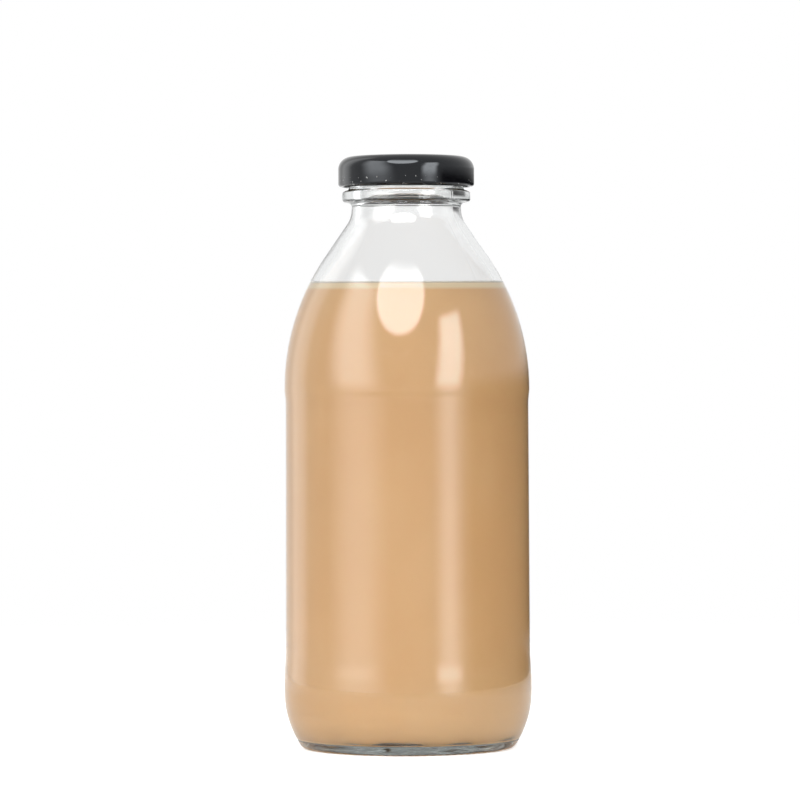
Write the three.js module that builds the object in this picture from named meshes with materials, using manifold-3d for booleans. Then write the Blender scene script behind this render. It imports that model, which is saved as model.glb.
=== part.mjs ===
// A clear glass drink bottle of 16 fl oz (about half a litre), filled with milk tea and closed by a
// black twist-off lug cap of the 38 mm size.
//
// It comes apart into four pieces: the moulded glass bottle, the drink that it holds, the cap's pressed
// tinplate shell, and the ring of sealing compound that is cast into the shell. Three lugs on the shell
// hook under three short threads on the neck, so the cap rises as it turns anticlockwise, seen from
// above, and it is free after about a third of a turn.
//
// Millimetres, +Z up. The origin is the middle of the base, on the surface that the bottle stands on,
// and the bottle's front faces -Y.

import * as THREE from "three";
import { mergeVertices } from "three/addons/utils/BufferGeometryUtils.js";
import Module from "manifold-3d";

const degrees = THREE.MathUtils.degToRad;

// Glass body, from the label panel up
const WALL = 2.4;
const LABEL_BOTTOM = 26.6;
const LABEL_TOP = 104.9;
const LABEL_RADIUS_LOW = 36.85; // the label panel lies a little below the rings at both its ends
const LABEL_RADIUS_HIGH = 36.6;
const SHOULDER_RADIUS = 36.95;
const SHOULDER_STEP = 3; // height over which the label panel widens into the shoulder
const SHOULDER_LEAN = degrees(34.4); // the shoulder's straight stretch, from the vertical
const SHOULDER_CORNER = 130.05; // height at which that stretch would meet the body's side
const SHOULDER_ARC = 70;
const NECK_RADIUS = 16.6;
const NECK_ARC = 8;
const STEP_ARC = 4;

// Base: a heel that leans in, a flat ring to stand on, and a push-up inside the ring
const HEEL_RADIUS = 37.35;
const HEEL_STEP = 3.4; // height over which the label panel widens into the heel
const HEEL_CORNER = 9.2;
const HEEL_ARC = 30;
const STANDING_RADIUS = 31.9;
const STANDING_ARC = 3;
const HOLLOW_RADIUS = 27.8;
const HOLLOW_BANK = 3.3; // width of the slope from the ring up to the push-up
const HOLLOW_BANK_HEIGHT = 2.4;
const HOLLOW_BANK_ARC = 6;
const HOLLOW_EDGE_ARC = 2;
const HOLLOW_HEIGHT = 3.2;
const FLOOR_EDGE = 5.2; // height of the inside's floor, at the wall and in the middle
const FLOOR_CENTRE = 6.8;
const FLOOR_ARC = 13;

// Neck finish of the 38 mm size: the bead that a conveyor grips, then the threads and the lip
const BEAD_ROOT_RADIUS = 16.4;
const BEAD_ROOT = 162.9;
const BEAD_RADIUS = 19.3;
const BEAD_BOTTOM = 165.2;
const BEAD_TOP = 167.6;
const BEAD_ARC = 0.7;
const FINISH_RADIUS = 17.3;
const FINISH_BOTTOM = 168.2;
const LIP_HEIGHT = 177.2;
const LIP_ARC = 0.9;
const THREADS = 3;
const THREAD_DEPTH = 1.1;
const THREAD_WIDTH = 1.7;
const THREAD_ARC = 0.5;
const THREAD_ROOT = -0.6; // how deep a thread is rooted in the finish
const THREAD_LEAD = 12; // rise in one whole turn
const THREAD_SWEEP = degrees(109);
const THREAD_TAIL = degrees(14); // the stretch of a thread behind the middle of its lug, with the cap shut
const THREAD_FADE = 0.14; // share of a thread's length over which its ends run out

// Cap
const CAP_RADIUS = 20.5;
const CAP_BOTTOM = 169.1;
const CAP_TOP = 178.5;
const CAP_SHEET = 0.22;
const CAP_SHOULDER_ARC = 3.4;
const PANEL_RADIUS = 12.3;
const PANEL_DROP = 0.84;
const PANEL_SLOPE = 1.2; // width of the slope between the panel and the raised rim
const PANEL_ARC = 0.8;
const CURL_ARC = 0.65;
const CURL_TURN = degrees(-285);
const LUG_SWEEP = degrees(22);
const LUG_ROOT_RADIUS = 20;
const LUG_TIP_RADIUS = 17.8;
const LUG_BOTTOM = 169.35;
const LUG_WIDTH = 1.2;
const LUG_ARC = 0.4;
const LUG_FADE = 0.3;
const LUG_CLEARANCE = 0.5; // between the middle of a lug and the thread over it
const FIRST_LUG = degrees(-97);

// Sealing ring
const SEAL_INNER_RADIUS = 14.2;
const SEAL_OUTER_RADIUS = 18.5;
const SEAL_GAP = 0.1; // to the lip below and the shell above
const SEAL_BEVEL = 1.5;
const SEAL_EDGE = 0.3;

// Drink
const FILL_HEIGHT = 139.9;
const DRINK_GAP = 0.3;

// Fineness of the solids
const ROUND_SEGMENTS = 40;
const CHORD_ERROR = 0.12; // the most that a straight piece of an outline may cut inside its arc
const CORNER_STEP = degrees(46); // and the most that it may turn
const THREAD_STEPS = 16;
const LUG_STEPS = 8;
const FADED = 0.04; // share of its depth that a thread or lug keeps at its very end

const wasm = await Module();
wasm.setup();

// ---------------------------------------------------------------------------- outlines and solids

// Points through corners [radius, height, rounding], each corner rounded by an arc.
function outline(corners) {
  return corners.flatMap(([radius, height, rounding], i) => {
    const corner = new THREE.Vector2(radius, height);
    if (!rounding) return [corner];
    const back = new THREE.Vector2(...corners.at(i - 1)).sub(corner).normalize();
    const ahead = new THREE.Vector2(...corners[(i + 1) % corners.length]).sub(corner).normalize();
    const half = Math.acos(back.dot(ahead)) / 2;
    const inwards = back.clone().add(ahead).normalize();
    const centre = corner.clone().addScaledVector(inwards, rounding / Math.sin(half));
    const start = corner.clone().addScaledVector(back, rounding / Math.tan(half)).sub(centre);
    const turn = (Math.PI - 2 * half) * Math.sign(ahead.cross(back));
    return arc(centre, start, turn);
  });
}

// Points of an arc that starts at centre + start and turns through an angle.
function arc(centre, start, turn) {
  const stepAngle = Math.min(CORNER_STEP, 2 * Math.acos(1 - CHORD_ERROR / start.length()));
  const steps = Math.ceil(Math.abs(turn) / stepAngle);
  const origin = new THREE.Vector2();
  return Array.from({ length: steps + 1 }, (_, i) =>
    start.clone().rotateAround(origin, (turn * i) / steps).add(centre),
  );
}

// The closed outline of a sheet of even thickness, from the line that its middle follows.
function thicken(line, thickness) {
  const side = (direction) =>
    line.map((point, i) => {
      const before = line[Math.max(0, i - 1)];
      const after = line[Math.min(line.length - 1, i + 1)];
      const along = after.clone().sub(before).normalize();
      const across = new THREE.Vector2(-along.y, along.x);
      const moved = point.clone().addScaledVector(across, (direction * thickness) / 2);
      if (point.x === 0) moved.x = 0;
      return moved;
    });
  return [...side(-1), ...side(1).reverse()];
}

// A turned solid about +Z. Its outline starts and ends on the axis, or is closed here.
function turned(points) {
  const closed = points[0].x === 0 ? points : [...points, points[0].clone()];
  return new THREE.LatheGeometry(closed, ROUND_SEGMENTS).rotateX(Math.PI / 2);
}

// The section of a bar that stands out of a wall, square at its root and rounded along its tip.
function barSection(root, tip, width, rounding) {
  const half = width / 2;
  const flat = tip - Math.sign(tip - root) * rounding;
  const section = new THREE.Shape();
  section.moveTo(root, -half);
  section.lineTo(flat, -half);
  section.quadraticCurveTo(tip, -half, tip, rounding - half);
  section.lineTo(tip, half - rounding);
  section.quadraticCurveTo(tip, half, flat, half);
  section.lineTo(root, half);
  return section;
}

// A bar laid round the axis on a helix, its ends fading into the wall at the given radius. The section's
// x runs outwards from that radius and its y upwards from the given height.
function helicalBar(section, { radius, height, from, sweep, lead, steps, fade }) {
  const options = { depth: 1, steps, curveSegments: 2, bevelEnabled: false };
  const bar = new THREE.ExtrudeGeometry(section, options);
  const at = bar.attributes.position;
  for (let i = 0; i < at.count; i++) {
    const along = 1 - at.getZ(i);
    const end = Math.min(1, along / fade, (1 - along) / fade);
    const share = FADED + (1 - FADED) * Math.sin((end * Math.PI) / 2);
    const r = radius + at.getX(i) * share;
    const angle = from + sweep * along;
    const rise = (lead * sweep * along) / (2 * Math.PI);
    at.setXYZ(i, r * Math.cos(angle), r * Math.sin(angle), height + at.getY(i) + rise);
  }
  return bar;
}

function solidOf(geometry) {
  geometry.deleteAttribute("normal");
  geometry.deleteAttribute("uv");
  const merged = mergeVertices(geometry);
  return new wasm.Manifold(
    new wasm.Mesh({
      numProp: 3,
      vertProperties: merged.attributes.position.array,
      triVerts: new Uint32Array(merged.index.array),
    }),
  );
}

function geometryOf(solid) {
  const { vertProperties, triVerts } = solid.getMesh();
  const geometry = new THREE.BufferGeometry();
  geometry.setAttribute("position", new THREE.BufferAttribute(vertProperties, 3));
  geometry.setIndex(new THREE.BufferAttribute(triVerts, 1));
  geometry.computeVertexNormals();
  return geometry;
}

function join(first, others) {
  return geometryOf(others.reduce((made, other) => made.add(solidOf(other)), solidOf(first)));
}

function mesh(name, geometry, look) {
  const made = new THREE.Mesh(geometry, new THREE.MeshStandardMaterial(look));
  made.name = name;
  return made;
}

// ------------------------------------------------------------------------------------- glass bottle

// Height at which the shoulder's straight stretch, moved inwards by a depth, has a given radius.
function coneHeight(radius, depth) {
  const reach = SHOULDER_RADIUS - depth / Math.cos(SHOULDER_LEAN) - radius;
  return SHOULDER_CORNER + reach / Math.tan(SHOULDER_LEAN);
}

// Corners of the bottle's inside from the middle of its floor to the neck, at a depth under the outside.
function insideCorners(depth) {
  const side = LABEL_RADIUS_HIGH - depth;
  const bore = NECK_RADIUS - depth;
  const lift = depth - WALL;
  return [
    [0, FLOOR_CENTRE + lift],
    [side, FLOOR_EDGE + lift, FLOOR_ARC - lift],
    [side, coneHeight(side, depth), SHOULDER_ARC - depth],
    [bore, coneHeight(bore, depth), NECK_ARC + depth],
  ];
}

function baseCorners() {
  return [
    [0, HOLLOW_HEIGHT],
    [HOLLOW_RADIUS - HOLLOW_BANK, HOLLOW_BANK_HEIGHT, HOLLOW_BANK_ARC],
    [HOLLOW_RADIUS, 0, HOLLOW_EDGE_ARC],
    [STANDING_RADIUS, 0, STANDING_ARC],
    [HEEL_RADIUS, HEEL_CORNER, HEEL_ARC],
  ];
}

function sideCorners() {
  return [
    [HEEL_RADIUS, LABEL_BOTTOM - HEEL_STEP, STEP_ARC],
    [LABEL_RADIUS_LOW, LABEL_BOTTOM, STEP_ARC],
    [LABEL_RADIUS_HIGH, LABEL_TOP, STEP_ARC],
    [SHOULDER_RADIUS, LABEL_TOP + SHOULDER_STEP, STEP_ARC],
    [SHOULDER_RADIUS, SHOULDER_CORNER, SHOULDER_ARC],
    [NECK_RADIUS, coneHeight(NECK_RADIUS, 0), NECK_ARC],
  ];
}

function finishCorners() {
  return [
    [BEAD_ROOT_RADIUS, BEAD_ROOT, BEAD_ARC],
    [BEAD_RADIUS, BEAD_BOTTOM, BEAD_ARC],
    [BEAD_RADIUS, BEAD_TOP, BEAD_ARC],
    [FINISH_RADIUS, FINISH_BOTTOM, BEAD_ARC],
    [FINISH_RADIUS, LIP_HEIGHT, LIP_ARC],
    [NECK_RADIUS - WALL, LIP_HEIGHT, LIP_ARC],
  ];
}

const lugAngle = (i) => FIRST_LUG + (i * 2 * Math.PI) / THREADS;

// Each thread runs anticlockwise and up from behind its shut lug, a clearance above the lug's own path.
function threads() {
  const section = barSection(THREAD_ROOT, THREAD_DEPTH, THREAD_WIDTH, THREAD_ARC);
  const overLug = LUG_BOTTOM + LUG_WIDTH + LUG_CLEARANCE + THREAD_WIDTH / 2;
  const drop = (THREAD_LEAD * THREAD_TAIL) / (2 * Math.PI);
  return Array.from({ length: THREADS }, (_, i) =>
    helicalBar(section, {
      radius: FINISH_RADIUS,
      height: overLug - drop,
      from: lugAngle(i) - THREAD_TAIL,
      sweep: THREAD_SWEEP,
      lead: THREAD_LEAD,
      steps: THREAD_STEPS,
      fade: THREAD_FADE,
    }),
  );
}

function glassBottle() {
  const outside = [...baseCorners(), ...sideCorners(), ...finishCorners()];
  const body = turned(outline([...outside, ...insideCorners(WALL).reverse()]));
  const look = { color: "#e9efec", roughness: 0.03, metalness: 0, transparent: true, opacity: 0.35 };
  return mesh("glass_bottle", join(body, threads()), look);
}

// -------------------------------------------------------------------------------------------- drink

// The drink fills the bottle up to its level, a gap inside the glass.
function milkTea() {
  const depth = WALL + DRINK_GAP;
  const wall = outline([...insideCorners(depth), [NECK_RADIUS - depth, LIP_HEIGHT]]);
  const dry = wall.findIndex(({ y }) => y > FILL_HEIGHT);
  const [wet, next] = [wall[dry - 1], wall[dry]];
  const edge = wet.clone().lerp(next, (FILL_HEIGHT - wet.y) / (next.y - wet.y));
  const middle = new THREE.Vector2(0, FILL_HEIGHT);
  const drink = turned([...wall.slice(0, dry), edge, middle]);
  return mesh("milk_tea", drink, { color: "#d8ad86", roughness: 0.35, metalness: 0 });
}

// ---------------------------------------------------------------------------------------------- cap

// The line through the middle of the cap's sheet: panel, raised rim, skirt, and the curl at its edge.
function capLine() {
  const half = CAP_SHEET / 2;
  const top = CAP_TOP - half;
  const side = CAP_RADIUS - half;
  const curl = new THREE.Vector2(side - CURL_ARC, CAP_BOTTOM + CURL_ARC + half);
  const skirt = outline([
    [0, top - PANEL_DROP],
    [PANEL_RADIUS, top - PANEL_DROP, PANEL_ARC],
    [PANEL_RADIUS + PANEL_SLOPE, top, PANEL_ARC],
    [side, top, CAP_SHOULDER_ARC],
    [side, curl.y],
  ]);
  return [...skirt.slice(0, -1), ...arc(curl, new THREE.Vector2(CURL_ARC, 0), CURL_TURN)];
}

// Three places where the curl is pressed inwards to hook under the threads.
function lugs() {
  const section = barSection(0, LUG_TIP_RADIUS - LUG_ROOT_RADIUS, LUG_WIDTH, LUG_ARC);
  return Array.from({ length: THREADS }, (_, i) =>
    helicalBar(section, {
      radius: LUG_ROOT_RADIUS,
      height: LUG_BOTTOM + LUG_WIDTH / 2,
      from: lugAngle(i) - LUG_SWEEP / 2,
      sweep: LUG_SWEEP,
      lead: 0,
      steps: LUG_STEPS,
      fade: LUG_FADE,
    }),
  );
}

function capShell() {
  const sheet = turned(thicken(capLine(), CAP_SHEET));
  return mesh("cap_shell", join(sheet, lugs()), { color: "#17181b", roughness: 0.22, metalness: 0.3 });
}

// The compound lies in the channel under the cap's raised rim, where it meets the bottle's lip.
function capSeal() {
  const bottom = LIP_HEIGHT + SEAL_GAP;
  const top = CAP_TOP - CAP_SHEET - SEAL_GAP;
  const ring = outline([
    [SEAL_INNER_RADIUS, bottom, SEAL_EDGE],
    [SEAL_OUTER_RADIUS, bottom],
    [SEAL_OUTER_RADIUS, bottom + SEAL_EDGE],
    [SEAL_OUTER_RADIUS - SEAL_BEVEL, top],
    [SEAL_INNER_RADIUS, top, SEAL_EDGE],
  ]);
  return mesh("cap_seal", turned(ring), { color: "#d9d7d0", roughness: 0.6, metalness: 0 });
}

// ------------------------------------------------------------------------------------------- object

const bottle = new THREE.Group();
bottle.add(glassBottle(), milkTea());

const cap = new THREE.Group();
cap.add(capShell(), capSeal());

const part = new THREE.Group();
part.add(bottle, cap);

export default part;
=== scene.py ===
import math

import bpy
from mathutils import Matrix, Vector, noise


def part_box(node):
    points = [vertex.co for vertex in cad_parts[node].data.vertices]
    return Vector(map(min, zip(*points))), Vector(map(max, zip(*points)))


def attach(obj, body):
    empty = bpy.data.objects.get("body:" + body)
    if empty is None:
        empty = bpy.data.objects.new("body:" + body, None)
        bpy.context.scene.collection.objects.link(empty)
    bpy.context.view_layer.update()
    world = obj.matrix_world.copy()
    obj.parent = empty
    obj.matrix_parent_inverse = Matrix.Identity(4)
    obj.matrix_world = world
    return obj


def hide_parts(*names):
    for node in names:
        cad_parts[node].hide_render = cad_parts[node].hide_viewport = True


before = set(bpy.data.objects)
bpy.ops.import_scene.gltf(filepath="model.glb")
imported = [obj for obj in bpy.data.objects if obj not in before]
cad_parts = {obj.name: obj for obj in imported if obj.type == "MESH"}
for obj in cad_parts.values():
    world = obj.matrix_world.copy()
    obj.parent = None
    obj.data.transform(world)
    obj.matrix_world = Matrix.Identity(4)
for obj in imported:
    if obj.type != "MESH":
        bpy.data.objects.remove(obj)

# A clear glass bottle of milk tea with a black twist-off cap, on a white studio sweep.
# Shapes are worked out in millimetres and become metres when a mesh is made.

MM = 0.001
TAU = 2 * math.pi
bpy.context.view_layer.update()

GLASS_LOW, GLASS_HIGH = (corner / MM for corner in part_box("glass_bottle"))
DRINK_LOW, DRINK_HIGH = (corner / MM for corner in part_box("milk_tea"))
SHELL_LOW, SHELL_HIGH = (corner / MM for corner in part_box("cap_shell"))
SEAL_LOW, SEAL_HIGH = (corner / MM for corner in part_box("cap_seal"))


# ------------------------------------------------------------------------------------------- camera

CAMERA_DISTANCE = 1300
CAMERA_HEIGHT = 111
LENS = 194.0
DOWNWARD = math.radians(0.27)
SIDEWAYS = math.radians(0.093)
ROLL = math.radians(-0.22)


def make_camera():
    data = bpy.data.cameras.new("camera")
    data.lens = LENS
    data.sensor_width = 36
    data.clip_end = 100
    camera = bpy.data.objects.new("camera", data)
    bpy.context.collection.objects.link(camera)
    turn = Matrix.Rotation(SIDEWAYS, 4, "Z") @ Matrix.Rotation(math.pi / 2 - DOWNWARD, 4, "X")
    place = Matrix.Translation(Vector((0, -CAMERA_DISTANCE, CAMERA_HEIGHT)) * MM)
    camera.matrix_world = place @ turn @ Matrix.Rotation(ROLL, 4, "Z")
    bpy.context.scene.camera = camera


make_camera()


# ------------------------------------------------------------------------------- outlines and meshes


def arc(centre, start, turn, chord_error):
    """Points of an arc that starts at centre + start and turns through an angle."""
    step = 2 * math.acos(1 - min(1, chord_error / start.length))
    count = max(2, math.ceil(abs(turn) / step))
    points = []
    for i in range(count + 1):
        moved = start.copy()
        moved.rotate(Matrix.Rotation(turn * i / count, 2))
        points.append(centre + moved)
    return points


def outline(corners, chord_error=0.012):
    """Points (radius, height) through corners (radius, height, rounding), each rounded by an arc."""
    points = []
    for i, (radius, height, rounding) in enumerate(corners):
        corner = Vector((radius, height))
        if not rounding:
            points.append(corner)
            continue
        back = (Vector(corners[i - 1][:2]) - corner).normalized()
        ahead = (Vector(corners[(i + 1) % len(corners)][:2]) - corner).normalized()
        half = math.acos(back.dot(ahead)) / 2
        centre = corner + (back + ahead).normalized() * rounding / math.sin(half)
        start = corner + back * rounding / math.tan(half) - centre
        side = ahead.x * back.y - ahead.y * back.x
        turn = math.copysign(math.pi - 2 * half, side)
        points += arc(centre, start, turn, chord_error)
    return points


def refine(points, longest):
    """The same outline with no step longer than longest(the step's middle)."""
    fine = [points[0]]
    for before, after in zip(points, points[1:]):
        length = (after - before).length
        count = max(1, math.ceil(length / longest((before + after) / 2)))
        fine += [before.lerp(after, i / count) for i in range(1, count + 1)]
    return fine


def mesh_object(name, vertices, faces, materials, smooth=True):
    data = bpy.data.meshes.new(name)
    data.from_pydata([Vector(v) * MM for v in vertices], [], faces)
    data.validate()
    for material in materials:
        data.materials.append(material)
    data.shade_smooth() if smooth else data.shade_flat()
    made = bpy.data.objects.new(name, data)
    bpy.context.collection.objects.link(made)
    return made


def revolve(rows, angles, shape=lambda radius, height, angle, row: (radius, height)):
    """Vertices and faces of outline rows turned about +Z. A row at radius 0 is one point, and an
    outline that starts off the axis closes on itself. shape moves each point."""
    vertices = []
    rings = []
    for index, row in enumerate(rows):
        if row.x < 1e-9:
            rings.append([len(vertices)] * len(angles))
            vertices.append((0, 0, row.y))
            continue
        rings.append(list(range(len(vertices), len(vertices) + len(angles))))
        for angle in angles:
            radius, height = shape(row.x, row.y, angle, index)
            vertices.append((radius * math.cos(angle), radius * math.sin(angle), height))
    if rows[0].x > 1e-9:
        rings.append(rings[0])
    faces = []
    for low, high in zip(rings, rings[1:]):
        for j in range(len(angles)):
            k = (j + 1) % len(angles)
            face = [low[j], low[k], high[k], high[j]]
            faces.append(tuple(dict.fromkeys(face)))
    return vertices, faces


def smoothstep(value):
    value = min(1, max(0, value))
    return value * value * (3 - 2 * value)


def even_angles(count):
    return [TAU * i / count for i in range(count)]


# ---------------------------------------------------------------------------------------- materials


class Nodes:
    """Short ways to put shader nodes into a tree."""

    def __init__(self, tree):
        self.tree = tree

    def node(self, kind, **inputs):
        made = self.tree.nodes.new("ShaderNode" + kind)
        for key, value in inputs.items():
            self.feed(value, made.inputs[key.replace("_", " ")])
        return made

    def feed(self, value, socket):
        if isinstance(value, bpy.types.NodeSocket):
            self.tree.links.new(value, socket)
        else:
            socket.default_value = value

    def maths(self, operation, a, b=0.0):
        made = self.node("Math")
        made.operation = operation
        self.feed(a, made.inputs[0])
        self.feed(b, made.inputs[1])
        return made.outputs[0]

    def ramp(self, value, low, high, start=0.0, end=1.0):
        """A smooth ramp from start to end as value goes from low to high."""
        made = self.node("MapRange", Value=value)
        made.interpolation_type = "SMOOTHSTEP"
        for key, number in (("From Min", low), ("From Max", high), ("To Min", start), ("To Max", end)):
            self.feed(number, made.inputs[key])
        return made.outputs["Result"]

    def mix(self, share, a, b):
        made = self.node("Mix")
        made.data_type = "RGBA"
        self.feed(share, made.inputs["Factor"])
        for key, value in (("A", a), ("B", b)):
            socket = next(i for i in made.inputs if i.name == key and i.type == "RGBA")
            self.feed(value, socket)
        return next(o for o in made.outputs if o.type == "RGBA")


class Look(Nodes):
    """A Principled material."""

    def __init__(self, name):
        self.material = bpy.data.materials.new(name)
        self.material.use_nodes = True
        super().__init__(self.material.node_tree)
        self.shader = self.tree.nodes["Principled BSDF"]
        self.output = self.tree.nodes["Material Output"]

    def set(self, **values):
        for key, value in values.items():
            self.shader.inputs[key.replace("_", " ")].default_value = value

    def place(self):
        return self.node("TexCoord").outputs["Object"]

    def noise(self, scale, detail=2.0, stretch=(1, 1, 1)):
        """Noise with the given number of bumps to the metre."""
        spread = self.node("Mapping", Vector=self.place(), Scale=stretch)
        made = self.node("TexNoise", Vector=spread.outputs[0], Scale=scale, Detail=detail)
        return made.outputs["Fac"]

    def height(self):
        return self.node("SeparateXYZ", Vector=self.place()).outputs["Z"]

    def hump(self, value, low, high, edge):
        """1 where value is from low to high, with soft edges."""
        rise = self.ramp(value, low - edge, low)
        return self.maths("MULTIPLY", rise, self.ramp(value, high, high + edge, 1.0, 0.0))

    def scratches(self, scale, stretch, share):
        """1 on thin streaks that leave about this share of the surface clean."""
        return self.ramp(self.noise(scale, detail=2, stretch=stretch), share, share + 0.06)

    def bump(self, height, distance, under=None):
        """A normal for a height of the given distance in metres, on top of another bump."""
        made = self.node("Bump", Height=height, Distance=distance, Strength=1.0)
        if under is not None:
            self.feed(under, made.inputs["Normal"])
        return made.outputs["Normal"]


GLASS_IOR = 1.52
DRINK_IOR = 1.35
FILL = DRINK_HIGH.z - 0.7
CAP_BOTTOM = SHELL_LOW.z
SCUFF_RINGS = ((9, 15), (112, 119))


def glass_look():
    """Clear soda-lime glass with the faint ripple of a moulded wall."""
    look = Look("clear_glass")
    look.set(Base_Color=(1, 1, 1, 1), Transmission_Weight=1.0, IOR=GLASS_IOR)
    height = look.height()
    rings = [look.hump(height, low * MM, high * MM, 1.5 * MM) for low, high in SCUFF_RINGS]
    rubbed = look.maths("MULTIPLY", look.maths("ADD", *rings), look.scratches(700, (1, 1, 9), 0.62))
    look.feed(look.maths("MULTIPLY", rubbed, 0.22), look.shader.inputs["Roughness"])
    ripple = look.bump(look.noise(60, detail=3, stretch=(1, 1, 0.35)), 0.00003)
    drawn = look.bump(look.noise(150, detail=2, stretch=(1, 1, 0.05)), 0.000022, under=ripple)
    scuffed = look.bump(rubbed, 0.000004, under=drawn)
    look.feed(scuffed, look.shader.inputs["Normal"])
    tint = look.node("VolumeAbsorption", Color=(0.22, 0.28, 0.275, 1), Density=28.0)
    look.feed(tint.outputs[0], look.output.inputs["Volume"])
    return look.material


def drink_colour(look):
    """The colour of milk tea, which is faintly cloudy, and the clouds."""
    clouds = look.ramp(look.noise(45, detail=4, stretch=(1, 1, 0.6)), 0.35, 0.7)
    return look.mix(clouds, (0.81, 0.50, 0.24, 1), (0.83, 0.53, 0.265, 1)), clouds


def drink_look():
    """Milk tea against the glass: paler just under its surface, and drawn up the wall, where a
    dark line of painted shade and a thin painted highlight, broken up by noise, mark its edge."""
    look = Look("milk_tea")
    look.set(Specular_IOR_Level=0.0)
    colour, clouds = drink_colour(look)
    height = look.height()
    pale = look.ramp(height, (FILL - 2.2) * MM, (FILL - 1.0) * MM)
    colour = look.mix(pale, colour, (0.9, 0.74, 0.5, 1))
    # Painted shade: a dark line drawn along the drink's edge at the fill line.
    edge = look.ramp(height, (FILL - 0.1) * MM, (FILL + 0.05) * MM)
    colour = look.mix(edge, colour, (0.64, 0.55, 0.44, 1))
    # Painted highlight: a thin near-white line just above the fill line, broken up by noise, stands for
    # the bright edge where the drink bends light.
    painted_highlight_line = look.ramp(height, (FILL + 0.2) * MM, (FILL + 0.3) * MM)
    froth = look.ramp(look.noise(500, detail=2), 0.3, 0.5, 0.5, 1.0)
    colour = look.mix(look.maths("MULTIPLY", painted_highlight_line, froth), colour, (0.93, 0.9, 0.84, 1))
    look.feed(colour, look.shader.inputs["Base Color"])
    look.feed(look.ramp(clouds, 0, 1, 0.35, 0.5), look.shader.inputs["Roughness"])
    return look.material


def drink_base_look():
    """The drink under the glass floor. Glass bends light more than the drink does, so a shallow
    view from inside the glass is mirrored."""
    look = Look("milk_tea_base")
    look.set(Specular_IOR_Level=0.0)
    colour, clouds = drink_colour(look)
    look.feed(colour, look.shader.inputs["Base Color"])
    look.feed(look.ramp(clouds, 0, 1, 0.35, 0.5), look.shader.inputs["Roughness"])
    mirror = look.node("BsdfGlossy", Color=(1, 1, 1, 1), Roughness=0.0)
    share = look.node("Fresnel", IOR=DRINK_IOR / GLASS_IOR)
    both = look.node("MixShader", Fac=share.outputs[0])
    look.feed(look.shader.outputs[0], both.inputs[1])
    look.feed(mirror.outputs[0], both.inputs[2])
    look.feed(both.outputs[0], look.output.inputs["Surface"])
    return look.material


def drink_top_look():
    """The drink's still surface, with patches of fine froth."""
    look = Look("milk_tea_top")
    look.set(IOR=DRINK_IOR)
    froth = look.ramp(look.noise(900, detail=3), 0.45, 0.75)
    colour = look.mix(froth, (0.72, 0.46, 0.26, 1), (0.8, 0.56, 0.34, 1))
    look.feed(colour, look.shader.inputs["Base Color"])
    look.feed(look.ramp(froth, 0, 1, 0.07, 0.3), look.shader.inputs["Roughness"])
    look.feed(look.bump(froth, 0.00005), look.shader.inputs["Normal"])
    return look.material


def lacquer_look():
    """Glossy black lacquer on tinplate: a faint orange peel, hair scratches, dust that gathers low
    on the skirt, and bare tin where the curled edge has rubbed."""
    look = Look("black_lacquer")
    look.set(Specular_IOR_Level=0.38, Specular_Tint=(0.9, 0.95, 1, 1))
    height = look.height()
    dust = look.ramp(look.noise(1200, detail=1), 0.72, 0.75)
    low = look.ramp(height, (CAP_BOTTOM + 1.4) * MM, (CAP_BOTTOM + 3.4) * MM, 1.0, 0.0)
    dust = look.maths("MULTIPLY", dust, low)
    curl = look.ramp(height, (CAP_BOTTOM + 0.1) * MM, (CAP_BOTTOM + 0.5) * MM, 1.0, 0.0)
    worn = look.maths("MULTIPLY", curl, look.ramp(look.noise(260, detail=3), 0.6, 0.68))
    colour = look.mix(dust, (0.004, 0.004, 0.005, 1), (0.5, 0.5, 0.48, 1))
    look.feed(look.mix(worn, colour, (0.5, 0.49, 0.47, 1)), look.shader.inputs["Base Color"])
    look.feed(worn, look.shader.inputs["Metallic"])
    hairs = look.scratches(500, (1, 1, 14), 0.68)
    smear = look.ramp(look.noise(90, detail=4), 0.4, 0.7, 0.03, 0.06)
    matt = look.maths("ADD", look.maths("MULTIPLY", dust, 0.5), look.maths("MULTIPLY", worn, 0.3))
    rough = look.maths("ADD", smear, look.maths("ADD", matt, look.maths("MULTIPLY", hairs, 0.05)))
    look.feed(rough, look.shader.inputs["Roughness"])
    peel = look.bump(look.noise(700, detail=2), 0.0000025)
    scratched = look.bump(hairs, -0.000003, under=peel)
    look.feed(look.bump(dust, 0.00004, under=scratched), look.shader.inputs["Normal"])
    return look.material


def compound_look():
    """Cast sealing compound: slightly mottled and dull, with a pebbled skin."""
    look = Look("seal_compound")
    look.set(Subsurface_Weight=0.1, Subsurface_Scale=0.001)
    mottle = look.ramp(look.noise(220, detail=4), 0.35, 0.7)
    colour = look.mix(mottle, (0.66, 0.63, 0.57, 1), (0.76, 0.74, 0.69, 1))
    look.feed(colour, look.shader.inputs["Base Color"])
    look.feed(look.ramp(mottle, 0, 1, 0.42, 0.62), look.shader.inputs["Roughness"])
    look.feed(look.bump(look.noise(1800, detail=2), 0.00003), look.shader.inputs["Normal"])
    return look.material


# ------------------------------------------------------------------------------------- glass bottle

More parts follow.
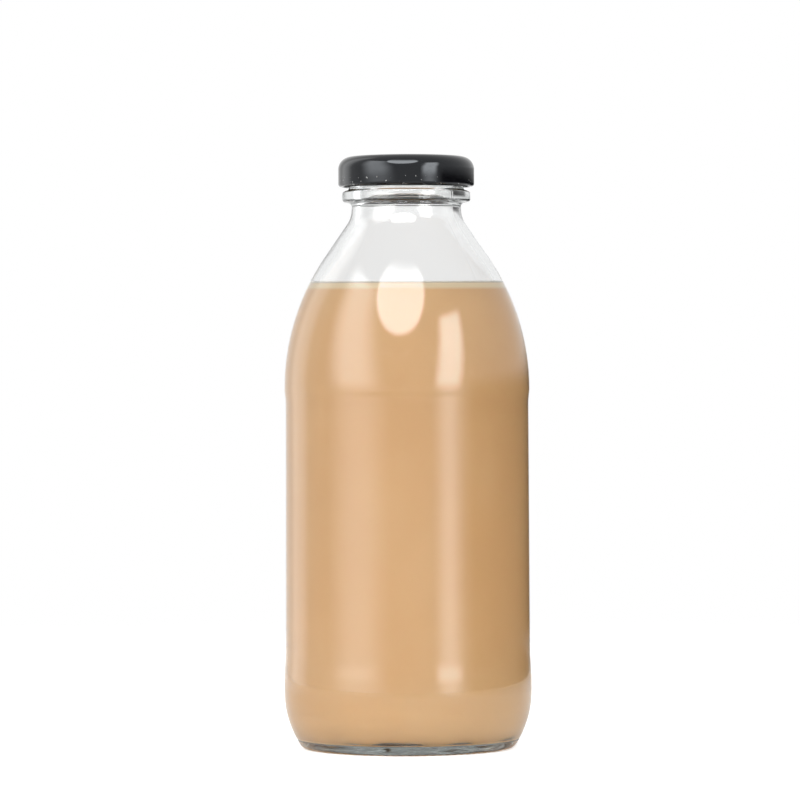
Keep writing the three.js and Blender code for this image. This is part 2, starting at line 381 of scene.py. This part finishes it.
WALL = 2.4
LABEL_BOTTOM = 28.6
LABEL_TOP = 104.9
LABEL_RADIUS_LOW = 36.85
LABEL_RADIUS_HIGH = 36.6
SHOULDER_RADIUS = 36.95
SHOULDER_STEP = 3
SHOULDER_LEAN = math.radians(34.4)
SHOULDER_CORNER = 130.05
SHOULDER_ARC = 70
NECK_RADIUS = 16.6
NECK_ARC = 8
STEP_ARC = 22
SHOULDER_STEP_ARC = 7
HEEL_RADIUS = GLASS_HIGH.x
HEEL_STEP = 8
HEEL_STEP_ARC = 100
HEEL_CORNER = 9.2
HEEL_ARC = 30
STANDING_RADIUS = 31.9
HOLLOW_RADIUS = 27.8
HOLLOW_BANK = 3.3
HOLLOW_HEIGHT = 3.2
FLOOR_EDGE = 3.6
FLOOR_CENTRE = 5.0
FLOOR_ARC = 9
BEAD_ROOT_RADIUS = 16.4
BEAD_ROOT = 164.0
BEAD_ROOT_ARC = 1.2
BEAD_RADIUS = 19.3
BEAD_BOTTOM = 164.7
BEAD_TOP = 167.6
BEAD_ARC = 0.75
FINISH_RADIUS = 17.3
FINISH_BOTTOM = 168.2
LIP_HEIGHT = GLASS_HIGH.z
LIP_ARC = 0.9


def cone_height(radius, depth):
    """The height of the shoulder's cone at a radius, for a surface this deep in the glass."""
    reach = SHOULDER_RADIUS - depth / math.cos(SHOULDER_LEAN) - radius
    return SHOULDER_CORNER + reach / math.tan(SHOULDER_LEAN)


def inside_corners(depth):
    """The outline of a surface this deep in the glass, from the floor up to the neck."""
    side = LABEL_RADIUS_HIGH - depth
    bore = NECK_RADIUS - depth
    lift = depth - WALL
    return [
        (0, FLOOR_CENTRE + lift, 0),
        (side, FLOOR_EDGE + lift, FLOOR_ARC - lift),
        (side, cone_height(side, depth), SHOULDER_ARC - depth),
        (bore, cone_height(bore, depth), NECK_ARC + depth),
    ]


OUTSIDE_CORNERS = [
    (0, HOLLOW_HEIGHT, 0),
    (HOLLOW_RADIUS - HOLLOW_BANK, 0.75 * HOLLOW_HEIGHT, 6),
    (HOLLOW_RADIUS, 0, 2),
    (STANDING_RADIUS, 0, 3),
    (HEEL_RADIUS, HEEL_CORNER, HEEL_ARC),
    (HEEL_RADIUS, LABEL_BOTTOM - HEEL_STEP, HEEL_STEP_ARC),
    (LABEL_RADIUS_LOW, LABEL_BOTTOM, HEEL_STEP_ARC),
    (LABEL_RADIUS_HIGH, LABEL_TOP, STEP_ARC),
    (SHOULDER_RADIUS, LABEL_TOP + SHOULDER_STEP, SHOULDER_STEP_ARC),
    (SHOULDER_RADIUS, SHOULDER_CORNER, SHOULDER_ARC),
    (NECK_RADIUS, cone_height(NECK_RADIUS, 0), NECK_ARC),
    (BEAD_ROOT_RADIUS, BEAD_ROOT, BEAD_ROOT_ARC),
    (BEAD_RADIUS, BEAD_BOTTOM, BEAD_ARC),
    (BEAD_RADIUS, BEAD_TOP, BEAD_ARC),
    (FINISH_RADIUS, FINISH_BOTTOM, BEAD_ARC),
]

THREADS = 3
THREAD_DEPTH = 1.1
THREAD_WIDTH = 1.7
THREAD_LEAD = 12
THREAD_SWEEP = math.radians(109)
THREAD_TAIL = math.radians(14)
THREAD_FADE = 0.14
FIRST_LUG = math.radians(-97)
THREAD_START = 171.9 - THREAD_LEAD * THREAD_TAIL / TAU

SEAMS = (math.radians(-45), math.radians(135))
SEAM_HEIGHT = 0.035
SEAM_WIDTH = 0.16
SEAM_STEP = math.radians(0.16)


BASE_SEAM = 3.0
BASE_SEAM_DEPTH = 0.16
BASE_SEAM_WIDTH = 0.22


def row_spacing(point):
    if point.x > STANDING_RADIUS and abs(point.y - BASE_SEAM) < 3 * BASE_SEAM_WIDTH:
        return BASE_SEAM_WIDTH / 2
    return 0.4 if FINISH_BOTTOM < point.y < LIP_HEIGHT else 3.5


def base_seam_at(height):
    """The line where the mould's base plate met its sides."""
    return BASE_SEAM_DEPTH * math.exp(-(((height - BASE_SEAM) / BASE_SEAM_WIDTH) ** 2))


def wall_wave(angle, height, phase):
    """How far the glass strays from round, in mm."""
    around = Vector((1.2 * math.cos(angle), 1.2 * math.sin(angle), height / 45 + phase))
    return noise.noise(around)


def thread_at(angle, height):
    """How far the threads stand out here."""
    out = 0
    for i in range(THREADS):
        along = ((angle - FIRST_LUG + THREAD_TAIL - i * TAU / THREADS) % TAU) / THREAD_SWEEP
        if along > 1:
            continue
        middle = THREAD_START + THREAD_LEAD * THREAD_SWEEP * along / TAU
        across = abs(height - middle) / (THREAD_WIDTH / 2)
        share = smoothstep(along / THREAD_FADE) * smoothstep((1 - along) / THREAD_FADE)
        out += THREAD_DEPTH * share * smoothstep((1.25 - across) / 0.7)
    return out


def seam_at(angle, radius):
    away = min(abs((angle - seam + math.pi) % TAU - math.pi) for seam in SEAMS) * radius
    return SEAM_HEIGHT * math.exp(-((away / SEAM_WIDTH) ** 2))


KNURLS = 84
KNURL_HEIGHT = 0.25


def knurl_at(angle, radius):
    """The short ridges that the bottle stands on."""
    across = smoothstep((radius - HOLLOW_RADIUS) / 1.2) * smoothstep((STANDING_RADIUS - radius) / 1.2)
    return KNURL_HEIGHT * across * (0.5 + 0.5 * math.cos(KNURLS * angle + 1.5 * radius))


def glass_angles():
    """Even steps, with finer ones across the seams."""
    angles = set(even_angles(4 * KNURLS))
    for seam in SEAMS:
        angles |= {(seam + SEAM_STEP * k) % TAU for k in range(-6, 7)}
    return sorted(angles)


OUTER_WAVE = 0.06
OUTER_PHASE = 7
INNER_WAVE = 0.22
FLOOR_WAVE = 0.75
FLOOR_WAVE_LENGTH = 10


def inner_point(radius, height, angle):
    """A point of the glass's inside, which is a little uneven."""
    place = Vector((math.cos(angle), math.sin(angle), 0)) * radius / FLOOR_WAVE_LENGTH
    low = smoothstep((22 - height) / 15) * smoothstep(radius / 8)
    high = smoothstep((LIP_HEIGHT - 12 - height) / 10)
    radius += INNER_WAVE * wall_wave(angle, height, 0) * high
    return radius, height + FLOOR_WAVE * noise.noise(place) * low


def make_glass():
    lip_corners = [(FINISH_RADIUS, LIP_HEIGHT, LIP_ARC), (NECK_RADIUS - WALL, LIP_HEIGHT, LIP_ARC)]
    corners = OUTSIDE_CORNERS + lip_corners + inside_corners(WALL)[::-1]
    rows = refine(outline(corners), row_spacing)
    lip = max(range(len(rows)), key=lambda i: rows[i].y)

    def shape(radius, height, angle, row):
        if row > lip:
            return inner_point(radius, height, angle)
        if height < KNURL_HEIGHT and HOLLOW_RADIUS < radius < STANDING_RADIUS:
            height += knurl_at(angle, radius)
        radius += OUTER_WAVE * wall_wave(angle, height, OUTER_PHASE) * smoothstep(height / 20)
        if FINISH_BOTTOM < height < LIP_HEIGHT - 0.2:
            radius += thread_at(angle, height)
        if radius > STANDING_RADIUS:
            radius -= base_seam_at(height)
        if height > BASE_SEAM:
            radius += seam_at(angle, radius)
        return radius, height

    vertices, faces = revolve(rows, glass_angles(), shape)
    return mesh_object("bottle_glass", vertices, faces, [glass_look()])


# -------------------------------------------------------------------------------------------- drink

OVERLAP = 0.05
MENISCUS = 0.5
MENISCUS_REACH = 0.9
MENISCUS_STEPS = (0.1, 0.3, 0.6, 1, 1.5, 2.2, 3.2, 5, 8)
DRINK_SPACING = 2.5
BASE_REACH = 8


def make_drink():
    """The drink, which overlaps the glass a little so that no air shows between them."""
    depth = WALL - OVERLAP
    corners = inside_corners(depth) + [(NECK_RADIUS - depth, LIP_HEIGHT, 0)]
    wall = refine(outline(corners), lambda point: DRINK_SPACING)
    side = [point for point in wall if point.y < FILL + MENISCUS]
    edge = side[-1].x - (FILL + MENISCUS - side[-1].y) * 0.5
    side.append(Vector((edge, FILL + MENISCUS)))
    top = [Vector((edge - d, FILL + MENISCUS * math.exp(-d / MENISCUS_REACH))) for d in MENISCUS_STEPS]
    rows = side + top + [Vector((0, FILL))]
    count = len(side)

    def shape(radius, height, angle, row):
        return inner_point(radius, height, angle)

    angles = glass_angles()
    vertices, faces = revolve(rows, angles, shape)
    made = mesh_object("drink", vertices, faces, [drink_look(), drink_top_look(), drink_base_look()])
    for i, polygon in enumerate(made.data.polygons):
        if i >= (count - 1) * len(angles):
            polygon.material_index = 1
        elif polygon.center.z < (FLOOR_CENTRE + BASE_REACH) * MM:
            polygon.material_index = 2
    return made


# ---------------------------------------------------------------------------------------------- cap

CAP_RADIUS = SHELL_HIGH.x
CAP_TOP = SHELL_HIGH.z - 0.33
CAP_SHEET = 0.22
CAP_SHOULDER_ARC = 3.7
PANEL_RADIUS = 12.3
PANEL_DROP = 0.84
PANEL_SLOPE = 1.2
PANEL_ARC = 0.8
CURL_ARC = 0.8
CURL_TURN = math.radians(-285)
LUG_SWEEP = math.radians(22)
LUG_TIP_RADIUS = 17.8
LUG_CLEARANCE = 0.35
LUG_FADE = 0.3
LUG_MARGIN = 0.2
SEAL_INSIDE = 14.2
SEAL_SLOPE = 2.1
SEAL_CLEARANCE = 0.05


def thicken(line, thickness):
    """The closed outline of a sheet of even thickness, from the line that its middle follows."""
    sides = []
    for direction in (-1, 1):
        side = []
        for i, point in enumerate(line):
            along = (line[min(i + 1, len(line) - 1)] - line[max(i - 1, 0)]).normalized()
            moved = point + Vector((-along.y, along.x)) * direction * thickness / 2
            side.append(Vector((0, moved.y)) if point.x == 0 else moved)
        sides.append(side)
    return sides[0] + sides[1][::-1]


def cap_line():
    half = CAP_SHEET / 2
    top = CAP_TOP - half
    side = CAP_RADIUS - half
    curl = Vector((side - CURL_ARC, CAP_BOTTOM + CURL_ARC + half))
    skirt = outline([
        (0, top - PANEL_DROP, 0),
        (PANEL_RADIUS, top - PANEL_DROP, PANEL_ARC),
        (PANEL_RADIUS + PANEL_SLOPE, top, PANEL_ARC),
        (side, top, CAP_SHOULDER_ARC),
        (side, curl.y, 0),
    ], 0.003)
    return skirt[:-1] + arc(curl, Vector((CURL_ARC, 0)), CURL_TURN, 0.003)


def make_cap():
    lugs = [FIRST_LUG + i * TAU / THREADS for i in range(THREADS)]
    inner = CAP_RADIUS - 2 * CURL_ARC - CAP_SHEET
    outer = CAP_RADIUS - LUG_CLEARANCE

    def shape(radius, height, angle, row):
        """The curl's inner part is pressed inwards at each lug."""
        if height > CAP_BOTTOM + 2 * CURL_ARC + CAP_SHEET or radius < inner - LUG_MARGIN:
            return radius, height
        nearest = min(abs((angle - lug + math.pi) % TAU - math.pi) for lug in lugs)
        share = smoothstep((LUG_SWEEP / 2 - nearest) / (LUG_FADE * LUG_SWEEP))
        pulled = smoothstep((outer - radius) / (outer - inner))
        return radius - (inner - LUG_TIP_RADIUS) * share * pulled, height

    vertices, faces = revolve(thicken(cap_line(), CAP_SHEET), even_angles(300), shape)
    return mesh_object("cap_tinplate", vertices, faces, [lacquer_look()])


def make_seal():
    top = min(SEAL_HIGH.z, CAP_TOP - CAP_SHEET - SEAL_CLEARANCE)
    rows = outline([
        (SEAL_INSIDE, SEAL_LOW.z, 0.3),
        (SEAL_HIGH.x, SEAL_LOW.z, 0.12),
        (SEAL_HIGH.x, SEAL_LOW.z + 0.3, 0.1),
        (SEAL_HIGH.x - SEAL_SLOPE, top, 0.5),
        (SEAL_INSIDE, top, 0.3),
    ], 0.01)
    vertices, faces = revolve(rows, even_angles(192))
    return mesh_object("cap_liner", vertices, faces, [compound_look()])


# ---------------------------------------------------------------------------------- light and stage


FLOOR_RADIUS = 700
FLOOR_FADE = 150
FLOOR_GLOW = 0.62
FLOOR_SHADOW = (27, 32.5)
AMBIENT = 0.97
BEHIND_GLASS = 0.96
DIFFUSE_SHARE = 0.55


def make_floor():
    """A pale floor that fades out into the white backdrop, with a painted contact shadow: its glow
    is left out right under the bottle.
    """
    look = Look("floor")
    path = look.node("LightPath").outputs
    seen = look.maths("MAXIMUM", path["Is Camera Ray"], path["Is Transmission Ray"])
    look.set(Base_Color=(0.8, 0.8, 0.8, 1), Roughness=0.7, Specular_IOR_Level=0.2)
    look.set(Emission_Color=(1, 1, 1, 1))
    length = look.node("VectorMath", Vector=look.place())
    length.operation = "LENGTH"
    out = length.outputs["Value"]
    # Painted shadow: the floor's glow is left out right under the bottle.
    glow_with_painted_shadow = look.ramp(out, FLOOR_SHADOW[0] * MM, FLOOR_SHADOW[1] * MM, 0.0, FLOOR_GLOW)
    look.feed(look.maths("MULTIPLY", seen, glow_with_painted_shadow), look.shader.inputs["Emission Strength"])
    faded = look.ramp(out, FLOOR_FADE * MM, FLOOR_RADIUS * MM, 1.0, 0.0)
    look.feed(faded, look.shader.inputs["Alpha"])
    angles = even_angles(96)
    ring = [(FLOOR_RADIUS * math.cos(a), FLOOR_RADIUS * math.sin(a), 0) for a in angles]
    floor = mesh_object("floor", ring, [tuple(range(len(ring)))], [look.material], smooth=False)


class Studio(Nodes):
    """The light that comes from each direction. Azimuth 0 is the front and +90 degrees is the
    bottle's right."""

    def __init__(self, tree):
        super().__init__(tree)
        way = self.node("SeparateXYZ", Vector=self.node("TexCoord").outputs["Generated"]).outputs
        self.azimuth = self.maths("ARCTAN2", way["X"], self.maths("MULTIPLY", way["Y"], -1.0))
        self.elevation = self.maths("ARCSINE", way["Z"])

    def band(self, value, low, high, edge):
        """1 where value is from low to high, in degrees, with soft edges."""
        low, high, edge = (math.radians(angle) for angle in (low, high, edge))
        rise = self.ramp(value, low - edge, low + edge)
        fall = self.ramp(value, high - edge, high + edge, 1.0, 0.0)
        return self.maths("MULTIPLY", rise, fall)

    def panel(self, azimuth, half_width, side_edge, low, high, end_edge, lean=0.0):
        """A soft patch around an azimuth, from a low to a high elevation. It leans sideways by lean
        degrees for each degree of height."""
        centre = self.maths("MULTIPLY_ADD", self.elevation, lean)
        centre.node.inputs[2].default_value = math.radians(azimuth)
        across = self.maths("SUBTRACT", self.azimuth, centre)
        return self.maths(
            "MULTIPLY",
            self.band(across, -half_width, half_width, side_edge),
            self.band(self.elevation, low, high, end_edge),
        )

    def disc(self, azimuth, elevation, radius, edge):
        """A round patch."""
        a, e = math.radians(azimuth), math.radians(elevation)
        centre = (math.sin(a) * math.cos(e), -math.cos(a) * math.cos(e), math.sin(e))
        facing = self.node("VectorMath", Vector=self.node("TexCoord").outputs["Generated"])
        facing.operation = "DOT_PRODUCT"
        facing.inputs[1].default_value = centre
        away = self.maths("ARCCOSINE", facing.outputs["Value"])
        return self.ramp(away, math.radians(radius - edge), math.radians(radius + edge), 1.0, 0.0)

    def total(self, base, patches):
        for level, patch in patches:
            made = self.node("Math")
            made.operation = "MULTIPLY_ADD"
            self.feed(patch, made.inputs[0])
            self.feed(level, made.inputs[1])
            self.feed(base, made.inputs[2])
            base = made.outputs[0]
        return base


def make_world():
    """The studio, as reflections and scattered light see it. What is seen directly or through the
    glass is a plain white backdrop."""
    world = bpy.data.worlds.new("studio")
    bpy.context.scene.world = world
    world.use_nodes = True
    studio = Studio(world.node_tree)
    softbox = studio.disc(-8, 48.3, 21.7, 2)
    light = studio.total(AMBIENT, [
        (9.4, studio.maths("MULTIPLY", softbox, studio.band(studio.elevation, 0, 57, 11))),
        (4.6, studio.panel(-50, 20, 14, 2, 48, 2.5, lean=-0.3)),
        (2.0, studio.panel(-48, 20, 16, -12, 2, 2.5)),
        (7.6, studio.panel(39, 12, 5, 2, 34, 2.5, lean=0.3)),
        (3.2, studio.panel(40, 9, 9, -12, 2, 2.5)),
        (1.0, studio.panel(-124, 13, 8, -30, 60, 5)),
        (-0.95, studio.panel(115, 55, 8, -60, 3, 3)),
    ])
    path = studio.node("LightPath").outputs
    scattered = studio.maths("GREATER_THAN", path["Diffuse Depth"], 0.5)
    light = studio.maths("MULTIPLY", light, studio.ramp(scattered, 0, 1, 1.0, DIFFUSE_SHARE))
    reflected = studio.maths("MAXIMUM", scattered, studio.maths("GREATER_THAN", path["Glossy Depth"], 0.5))
    through = studio.maths("GREATER_THAN", path["Transmission Depth"], 0.5)
    backdrop = studio.ramp(through, 0, 1, 1.0, BEHIND_GLASS)
    chosen = studio.node("Mix", Factor=reflected, A=backdrop, B=light)
    back = world.node_tree.nodes["Background"]
    back.inputs["Color"].default_value = (1, 1, 1, 1)
    studio.feed(chosen.outputs[0], back.inputs["Strength"])


make_floor()
make_world()
bpy.context.scene.view_settings.view_transform = "Standard"
bpy.context.scene.cycles.glossy_bounces = 12


# ------------------------------------------------------------------------------------------- object

PIECES = (
    (make_glass, "bottle", "glass_bottle", "glass"),
    (make_drink, "bottle", "milk_tea", "milk_tea"),
    (make_cap, "cap", "cap_shell", "cap_lacquer"),
    (make_seal, "seal", "cap_seal", "seal_compound"),
)
for make, body, node, slot in PIECES:
    piece = make()
    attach(piece, body)
    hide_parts(node)
